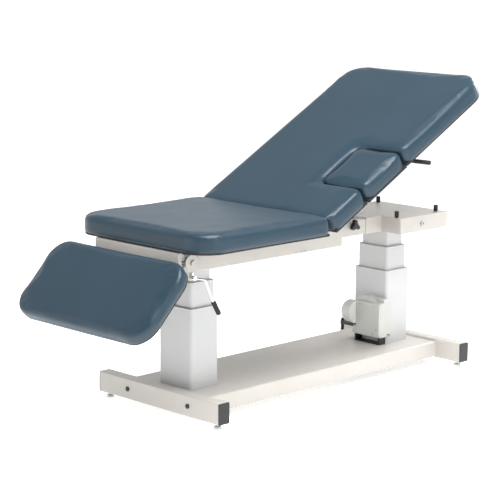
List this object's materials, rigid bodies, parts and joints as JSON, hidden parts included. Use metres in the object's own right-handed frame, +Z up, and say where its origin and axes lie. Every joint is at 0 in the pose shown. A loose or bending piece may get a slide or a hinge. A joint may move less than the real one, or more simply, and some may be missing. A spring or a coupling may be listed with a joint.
{
  "type": "powered medical imaging table",
  "caption": "Powered exam table with padded footrest, seat and raised back with a drop-out side cushion, on telescopic lift columns and a low steel base.",
  "frame": {"origin": "centre of the bounding box's footprint, on the floor the levelling feet stand on", "axes": "+X from the footrest end to the head end, +Y away from the side with the drop window, +Z up"},
  "size_m": [1.7918, 0.703, 1.1596],
  "materials": {
    "frame_coat": "semi-gloss powder coat",
    "column_coat": "smooth silver-white coat",
    "vinyl": "soft slate-blue vinyl",
    "black_board": "plywood with a black underside",
    "black_plastic": "matt moulded plastic",
    "black_rubber": "matt rubber",
    "bright_steel": "zinc-plated steel",
    "chrome": "polished chrome",
    "cast_grey": "painted casting",
    "motor_grey": "grey enamel",
    "dark_metal": "dark enamel",
    "guide_plastic": "glide polymer"
  },
  "bodies": {
    "base": {"foot_crossbar": "frame_coat", "head_crossbar": "frame_coat", "crossbar_end_caps": "black_plastic", "crossbar_bolt_plugs": "black_plastic", "platform_cover": "frame_coat", "mains_inlet": "black_plastic", "control_box": "black_plastic", "foot_outer_column": "column_coat", "head_outer_column": "column_coat", "outer_glide_rings": "guide_plastic", "actuator_tubes": "dark_metal", "gearbox_housing": "cast_grey", "gearbox_cover": "cast_grey", "gearbox_screws": "bright_steel", "motor_can": "motor_grey", "motor_bracket": "dark_metal"},
    "levelling_foot_foot_near": {"levelling_foot_foot_near": "bright_steel"},
    "levelling_foot_foot_far": {"levelling_foot_foot_far": "bright_steel"},
    "levelling_foot_head_near": {"levelling_foot_head_near": "bright_steel"},
    "levelling_foot_head_far": {"levelling_foot_head_far": "bright_steel"},
    "foot_middle_stage": {"foot_middle_column": "column_coat", "foot_middle_glide_ring": "guide_plastic"},
    "head_middle_stage": {"head_middle_column": "column_coat", "head_middle_glide_ring": "guide_plastic"},
    "upper_frame": {"foot_inner_column": "column_coat", "head_inner_column": "column_coat", "actuator_rods": "bright_steel", "spine_rails": "frame_coat", "seat_rails": "frame_coat", "seat_cross_bars": "frame_coat", "front_rail": "frame_coat", "footrest_hinge_plates": "frame_coat", "head_tray": "frame_coat", "bumpers": "black_rubber", "tray_bolts": "bright_steel", "back_hinge_arms": "frame_coat", "strut_bracket": "frame_coat", "seat_board": "black_board", "seat_cushion": "vinyl"},
    "clamp": {"clamp_knob": "black_plastic", "clamp_screw": "bright_steel"},
    "backrest": {"back_board": "black_board", "back_cushion": "vinyl", "back_rails": "frame_coat", "back_hinge_pins": "bright_steel", "strut_lug": "frame_coat", "window_hinge": "bright_steel"},
    "drop_window": {"window_board": "black_board", "window_cushion": "vinyl"},
    "back_release": {"back_release_rod": "bright_steel", "back_release_grip": "black_rubber"},
    "strut_barrel": {"strut_cylinder": "dark_metal"},
    "strut_piston": {"strut_rod": "chrome"},
    "footrest": {"footrest_board": "black_board", "footrest_cushion": "vinyl", "footrest_arms": "frame_coat", "footrest_sector": "bright_steel"},
    "footrest_release": {"footrest_lever": "chrome", "footrest_lever_grip": "black_rubber"}
  },
  "joints": [
    {"name": "level_foot_near", "type": "slide", "parent": "base", "child": "levelling_foot_foot_near", "axis": [0, 0, -1], "range_m": [0, 0.015]},
    {"name": "level_foot_far", "type": "slide", "parent": "base", "child": "levelling_foot_foot_far", "axis": [0, 0, -1], "range_m": [0, 0.015]},
    {"name": "level_head_near", "type": "slide", "parent": "base", "child": "levelling_foot_head_near", "axis": [0, 0, -1], "range_m": [0, 0.015]},
    {"name": "level_head_far", "type": "slide", "parent": "base", "child": "levelling_foot_head_far", "axis": [0, 0, -1], "range_m": [0, 0.015]},
    {"name": "lift", "type": "slide", "parent": "base", "child": "upper_frame", "axis": [0, 0, 1], "range_m": [-0.09, 0.215]},
    {"name": "foot_column_stage", "type": "slide", "parent": "base", "child": "foot_middle_stage", "axis": [0, 0, 1], "range_m": [-0.0455, 0.108]},
    {"name": "head_column_stage", "type": "slide", "parent": "base", "child": "head_middle_stage", "axis": [0, 0, 1], "range_m": [-0.0455, 0.108]},
    {"name": "clamp_turn", "type": "hinge", "parent": "upper_frame", "child": "clamp", "pos_m": [0.402, -0.09545, 0.587], "axis": [0, -1, 0], "range_deg": [-180, 180]},
    {"name": "back_tilt", "type": "hinge", "parent": "upper_frame", "child": "backrest", "pos_m": [0.024, 0.00154, 0.69], "axis": [0, -1, 0], "range_deg": [-28.5, 36.5]},
    {"name": "window_drop", "type": "hinge", "parent": "backrest", "child": "drop_window", "pos_m": [0.21631, -0.12295, 0.71932], "axis": [0.8788, 0, 0.4772], "range_deg": [0, 90]},
    {"name": "back_release_turn", "type": "hinge", "parent": "backrest", "child": "back_release", "pos_m": [0.0574, -0.10645, 0.62848], "axis": [0.8788, 0, 0.4772], "range_deg": [0, 12], "stiffness_Nm_per_rad": 3, "springref_deg": -20.05},
    {"name": "strut_swing", "type": "hinge", "parent": "upper_frame", "child": "strut_barrel", "pos_m": [0.048, 0.00154, 0.572], "axis": [0, -1, 0], "range_deg": [-23.65, 30.2]},
    {"name": "strut_stroke", "type": "slide", "parent": "strut_barrel", "child": "strut_piston", "axis": [0.8345, 0, 0.551], "range_m": [-0.05307, 0.06782]},
    {"name": "footrest_tilt", "type": "hinge", "parent": "upper_frame", "child": "footrest", "pos_m": [-0.556, 0.00154, 0.583], "axis": [0, 1, 0], "range_deg": [-26, 46]},
    {"name": "footrest_release_turn", "type": "hinge", "parent": "upper_frame", "child": "footrest_release", "pos_m": [-0.554, -0.23445, 0.531], "axis": [0, -1, 0], "range_deg": [0, 20], "stiffness_Nm_per_rad": 3, "springref_deg": -17.19}
  ],
  "couplings": [
    {"joint": "foot_column_stage", "follows": "lift", "ratio": 0.5},
    {"joint": "head_column_stage", "follows": "lift", "ratio": 0.5},
    {"joint": "strut_swing", "follows": "back_tilt", "ratio": 0.8192},
    {"joint": "strut_stroke", "follows": "back_tilt", "m_per_rad": 0.10568}
  ]
}
